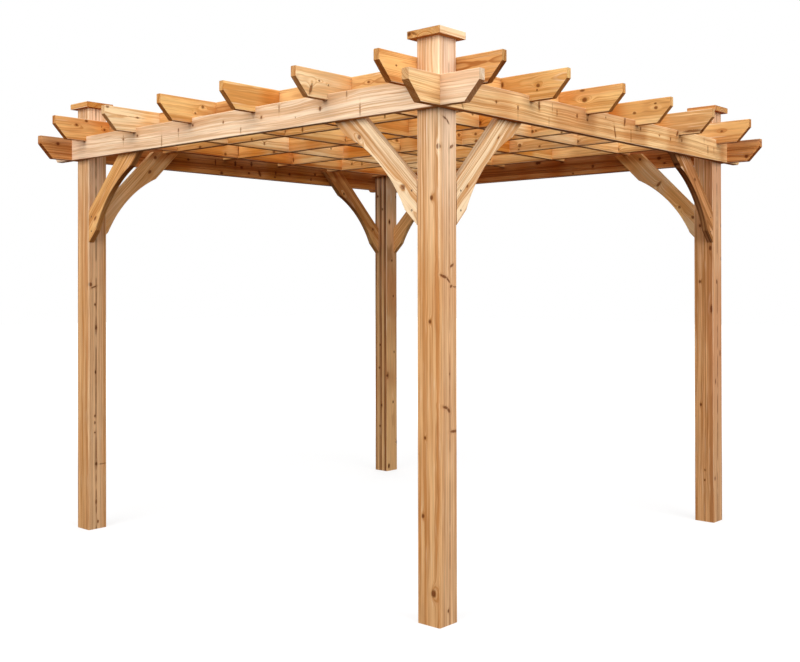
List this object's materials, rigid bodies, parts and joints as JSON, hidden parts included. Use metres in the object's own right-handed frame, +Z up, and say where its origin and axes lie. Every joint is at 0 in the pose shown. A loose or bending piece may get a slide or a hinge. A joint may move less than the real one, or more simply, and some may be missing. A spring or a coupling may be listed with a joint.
{
  "type": "pergola",
  "caption": "Free-standing square timber pergola: corner posts with flat caps, crossing outer beams, an interlocking rafter grid with bevelled tails and arched knee braces.",
  "frame": {"origin": "on the ground at the middle of the four posts", "axes": "+Z up, +X to the right along the rafters, +Y to the back along the cross rafters"},
  "size_m": [3.048, 3.048, 2.373],
  "materials": {
    "post": "planed cedar, natural",
    "cap": "planed cedar, natural",
    "beam": "planed cedar, natural",
    "rafter": "planed cedar, natural",
    "brace": "planed cedar, natural",
    "screw": "coated steel"
  },
  "bodies": {
    "root": {"front_left_post": "post", "front_left_post_cap": "cap", "front_right_post": "post", "front_right_post_cap": "cap", "back_left_post": "post", "back_left_post_cap": "cap", "back_right_post": "post", "back_right_post_cap": "cap", "front_beam": "beam", "right_beam": "beam", "back_beam": "beam", "left_beam": "beam", "rafter_1": "rafter", "cross_rafter_1": "rafter", "rafter_2": "rafter", "cross_rafter_2": "rafter", "rafter_3": "rafter", "cross_rafter_3": "rafter", "rafter_4": "rafter", "cross_rafter_4": "rafter", "rafter_5": "rafter", "cross_rafter_5": "rafter", "rafter_6": "rafter", "cross_rafter_6": "rafter", "front_brace_left": "brace", "front_brace_right": "brace", "right_brace_front": "brace", "right_brace_back": "brace", "back_brace_right": "brace", "back_brace_left": "brace", "left_brace_back": "brace", "left_brace_front": "brace"}
  },
  "joints": []
}
